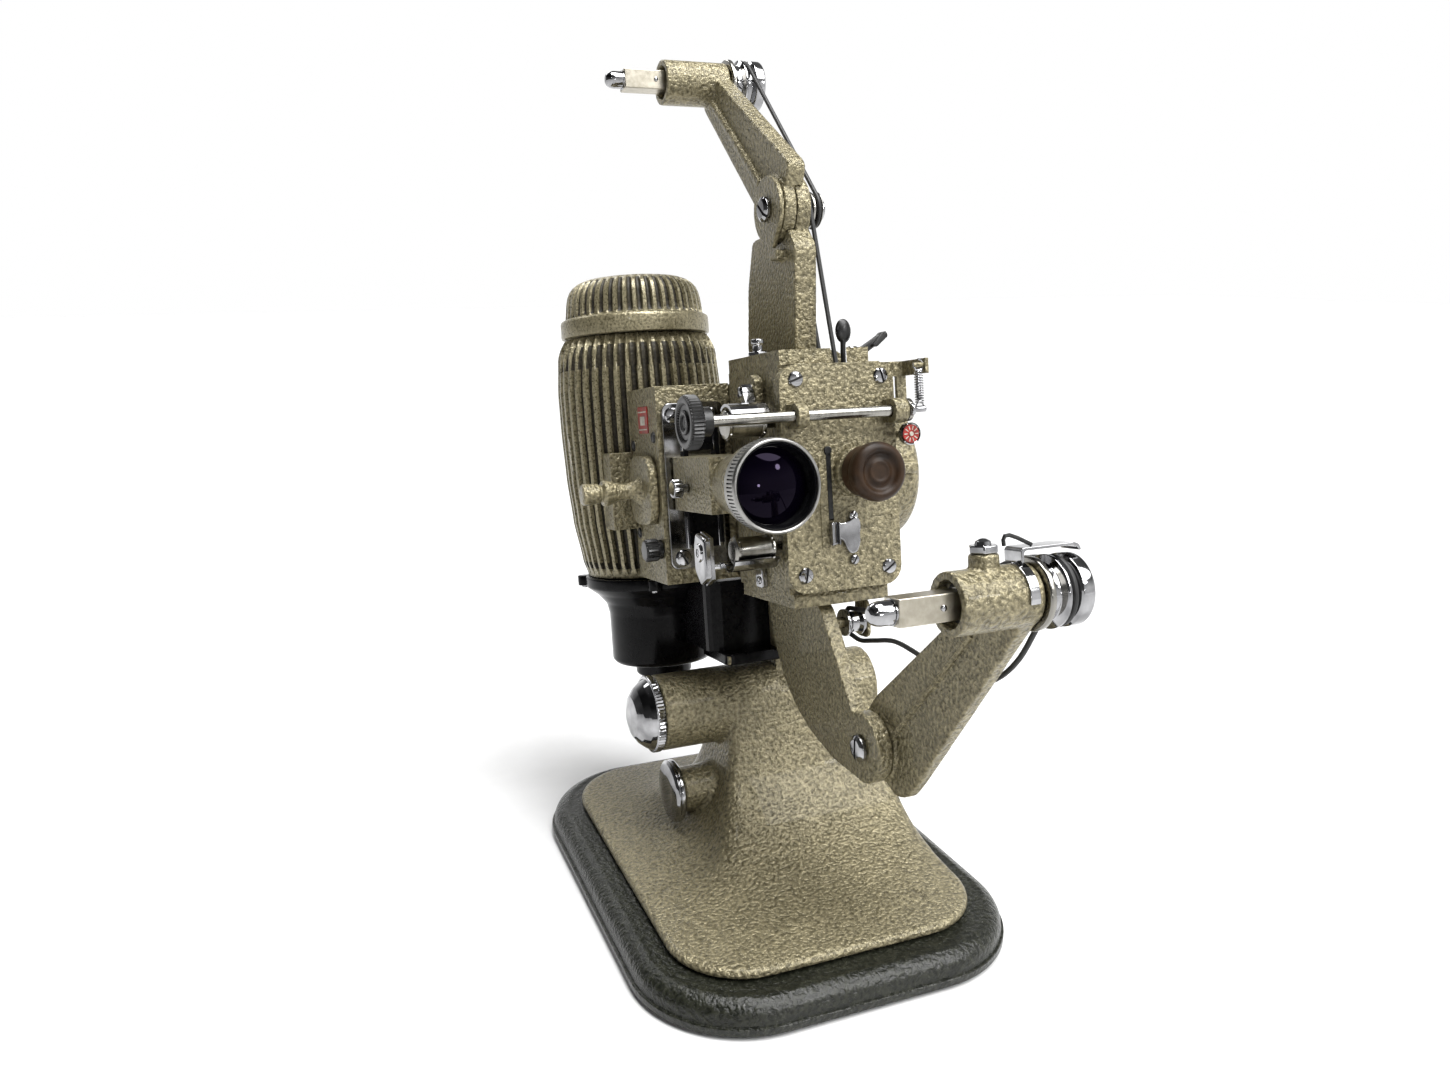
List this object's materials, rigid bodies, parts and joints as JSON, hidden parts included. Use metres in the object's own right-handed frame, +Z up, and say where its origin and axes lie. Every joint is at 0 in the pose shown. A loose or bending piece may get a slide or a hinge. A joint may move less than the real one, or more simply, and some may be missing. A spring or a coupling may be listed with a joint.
{
  "type": "small-gauge cine film projector",
  "caption": "Compact cine film projector with a fluted lamphouse, projection lens and folding reel arms on a tilting pedestal foot.",
  "frame": {"origin": "centre of the foot's flat underside", "axes": "+Z up, -Y the way the lens looks, +X to the left as the lens looks"},
  "size_m": [0.15, 0.2909, 0.3387],
  "materials": {
    "hammertone": "satin",
    "wrinkle": "satin",
    "black_enamel": "gloss",
    "chrome": "polished",
    "steel": "satin",
    "black_bakelite": "gloss",
    "brown_bakelite": "satin",
    "red": "satin",
    "rubber": "matte",
    "glass": "gloss",
    "clear_glass": "gloss",
    "brass": "satin",
    "mirror": "polished"
  },
  "bodies": {
    "base": {"base_pad": "rubber", "plinth": "wrinkle", "foot_casting": "hammertone"},
    "clamp": {"clamp_dome": "chrome", "pivot_shaft": "steel"},
    "tilt_adjuster": {"tilt_knob": "chrome"},
    "head": {"head_bracket": "hammertone", "gear_case": "hammertone", "front_cover": "hammertone", "rear_case": "hammertone", "side_gear_cover": "hammertone", "lamp_box": "hammertone", "gate_plate": "chrome", "condenser": "clear_glass", "reflector": "mirror", "lamp_socket": "brass", "lamp_bulb": "clear_glass", "lamphouse_body": "hammertone", "motor_housing": "black_enamel", "drive_housing": "black_enamel", "upper_fixed_arm": "hammertone", "upper_elbow_washer": "hammertone", "upper_elbow_pin": "chrome", "upper_drive_belt": "rubber", "lower_fixed_arm": "hammertone", "lower_elbow_pin": "chrome", "lower_belt": "rubber", "spring_bracket": "hammertone", "rod_spring": "steel"},
    "cap": {"lamphouse_cap": "hammertone"},
    "motor": {"motor_rotor": "steel", "fan": "steel"},
    "main_drive": {"main_shaft": "steel", "inching_knob": "brown_bakelite"},
    "shutter_disc": {"shutter": "black_enamel"},
    "upper_feed": {"upper_sprocket": "steel"},
    "lower_feed": {"lower_sprocket": "steel"},
    "upper_shoe": {"upper_keeper": "chrome"},
    "lower_shoe": {"lower_keeper": "chrome"},
    "lens_mount": {"lens_holder": "hammertone"},
    "lens": {"lens_barrel": "steel", "lens_glass": "glass"},
    "lens_clamp": {"lens_clamp_screw": "chrome"},
    "control": {"control_rod": "steel", "rod_knob": "black_bakelite"},
    "dial": {"red_dial": "red"},
    "framing": {"framing_lever": "chrome"},
    "spoon": {"spoon_lever": "black_bakelite"},
    "flat": {"flat_lever": "black_bakelite"},
    "lamp_adjust": {"lamp_adjuster": "hammertone"},
    "side_knob": {"box_knob": "black_bakelite"},
    "upper_arm": {"upper_fold_arm": "hammertone", "upper_reel_belt": "rubber"},
    "upper_reel_shaft": {"upper_spindle": "chrome"},
    "elbow_pulley": {"upper_elbow_pulley": "steel"},
    "drive_pulley": {"upper_drive_pulley": "steel"},
    "lower_arm": {"lower_fold_arm": "hammertone", "belt_guard": "chrome"},
    "lower_reel_shaft": {"lower_spindle": "chrome"},
    "idler": {"idler_roller": "steel"}
  },
  "joints": [
    {"name": "head_tilt", "type": "hinge", "parent": "base", "child": "head", "pos_m": [0, 0.024, 0.069], "axis": [-1, 0, 0], "range_deg": [-9, 6]},
    {"name": "tilt_knob_turn", "type": "hinge", "parent": "base", "child": "tilt_adjuster", "pos_m": [0, 0.019, 0.0344], "axis": [-1, 0, 0], "range_deg": [-54, 36]},
    {"name": "clamp_turn", "type": "hinge", "parent": "base", "child": "clamp", "pos_m": [0, 0.024, 0.069], "axis": [1, 0, 0], "range_deg": [-180, 20]},
    {"name": "upper_fold", "type": "hinge", "parent": "head", "child": "upper_arm", "pos_m": [0, 0.02285, 0.27269], "axis": [1, 0, 0], "range_deg": [-30, 35]},
    {"name": "lower_fold", "type": "hinge", "parent": "head", "child": "lower_arm", "pos_m": [0, -0.07088, 0.08555], "axis": [1, 0, 0], "range_deg": [-30, 40], "deforming": ["lower_belt"]},
    {"name": "upper_spindle_spin", "type": "hinge", "parent": "upper_arm", "child": "upper_reel_shaft", "pos_m": [0, 0.09384, 0.32776], "axis": [1, 0, 0], "continuous": true},
    {"name": "elbow_pulley_spin", "type": "hinge", "parent": "head", "child": "elbow_pulley", "pos_m": [0, 0.02285, 0.27269], "axis": [1, 0, 0], "continuous": true},
    {"name": "drive_pulley_spin", "type": "hinge", "parent": "head", "child": "drive_pulley", "pos_m": [0, -0.00749, 0.20257], "axis": [1, 0, 0], "continuous": true},
    {"name": "lower_spindle_spin", "type": "hinge", "parent": "lower_arm", "child": "lower_reel_shaft", "pos_m": [0, -0.14212, 0.16122], "axis": [1, 0, 0], "continuous": true},
    {"name": "idler_spin", "type": "hinge", "parent": "head", "child": "idler", "pos_m": [0, -0.03477, 0.11982], "axis": [1, 0, 0], "continuous": true},
    {"name": "motor_spin", "type": "hinge", "parent": "head", "child": "motor", "pos_m": [-0.015, 0.06555, -0.00744], "axis": [0, 0.1564, 0.9877], "continuous": true},
    {"name": "main_shaft_spin", "type": "hinge", "parent": "head", "child": "main_drive", "pos_m": [0.0215, 0.01574, 0.17024], "axis": [0, 0.9877, -0.1564], "continuous": true},
    {"name": "shutter_spin", "type": "hinge", "parent": "head", "child": "shutter_disc", "pos_m": [0.0065, 0.01563, 0.16955], "axis": [0, 0.9877, -0.1564], "continuous": true},
    {"name": "upper_sprocket_spin", "type": "hinge", "parent": "head", "child": "upper_feed", "pos_m": [0, -0.02466, 0.19648], "axis": [1, 0, 0], "continuous": true},
    {"name": "lower_sprocket_spin", "type": "hinge", "parent": "head", "child": "lower_feed", "pos_m": [0, -0.03322, 0.15197], "axis": [1, 0, 0], "continuous": true},
    {"name": "upper_keeper_swing", "type": "hinge", "parent": "head", "child": "upper_shoe", "pos_m": [0, -0.01196, 0.20632], "axis": [-1, 0, 0], "range_deg": [0, 40]},
    {"name": "lower_keeper_swing", "type": "hinge", "parent": "head", "child": "lower_shoe", "pos_m": [0, -0.02478, 0.14456], "axis": [1, 0, 0], "range_deg": [0, 35]},
    {"name": "gate_open", "type": "slide", "parent": "head", "child": "lens_mount", "axis": [0, -0.9877, 0.1564], "range_m": [0, 0.006]},
    {"name": "lens_focus", "type": "slide", "parent": "lens_mount", "child": "lens", "axis": [0, -0.9877, 0.1564], "range_m": [0, 0.008]},
    {"name": "lens_clamp_turn", "type": "hinge", "parent": "lens_mount", "child": "lens_clamp", "pos_m": [0, 0.00256, 0.16888], "axis": [1, 0, 0], "range_deg": [-30, 150]},
    {"name": "control_rod_turn", "type": "hinge", "parent": "head", "child": "control", "pos_m": [0, -0.04022, 0.20047], "axis": [1, 0, 0], "range_deg": [0, 30], "stiffness_Nm_per_rad": 0.05, "springref_deg": -8.59, "deforming": ["rod_spring"]},
    {"name": "dial_turn", "type": "hinge", "parent": "head", "child": "dial", "pos_m": [0.041, 0.01766, 0.18239], "axis": [0, 0.9877, -0.1564], "range_deg": [-150, 150]},
    {"name": "framing_lever_turn", "type": "hinge", "parent": "head", "child": "framing", "pos_m": [0.0196, 0.01306, 0.15335], "axis": [0, 0.9877, -0.1564], "range_deg": [-10, 10]},
    {"name": "spoon_lever_tilt", "type": "hinge", "parent": "head", "child": "spoon", "pos_m": [0, -0.00159, 0.21429], "axis": [1, 0, 0], "range_deg": [-15, 15]},
    {"name": "flat_lever_turn", "type": "hinge", "parent": "head", "child": "flat", "pos_m": [0.0348, -0.04131, 0.00949], "axis": [0, 0.1564, 0.9877], "range_deg": [-20, 20]},
    {"name": "cap_lift", "type": "slide", "parent": "head", "child": "cap", "axis": [0, 0.1564, 0.9877], "range_m": [0, 0.04]},
    {"name": "side_knob_turn", "type": "hinge", "parent": "head", "child": "side_knob", "pos_m": [0, 0.0233, 0.13998], "axis": [1, 0, 0], "range_deg": [-150, 150]},
    {"name": "lamp_adjuster_turn", "type": "hinge", "parent": "head", "child": "lamp_adjust", "pos_m": [0, 0.03966, 0.16149], "axis": [1, 0, 0], "range_deg": [-20, 20]}
  ],
  "couplings": [
    {"joint": "tilt_knob_turn", "follows": "head_tilt", "ratio": 6},
    {"joint": "elbow_pulley_spin", "follows": "upper_spindle_spin", "ratio": 1.4885},
    {"joint": "drive_pulley_spin", "follows": "upper_spindle_spin", "ratio": 1.6957},
    {"joint": "idler_spin", "follows": "lower_spindle_spin", "ratio": 1.8932},
    {"joint": "main_shaft_spin", "follows": "motor_spin", "ratio": 0.4},
    {"joint": "shutter_spin", "follows": "motor_spin", "ratio": -0.96},
    {"joint": "upper_sprocket_spin", "follows": "motor_spin", "ratio": 0.05},
    {"joint": "lower_sprocket_spin", "follows": "motor_spin", "ratio": -0.05}
  ]
}
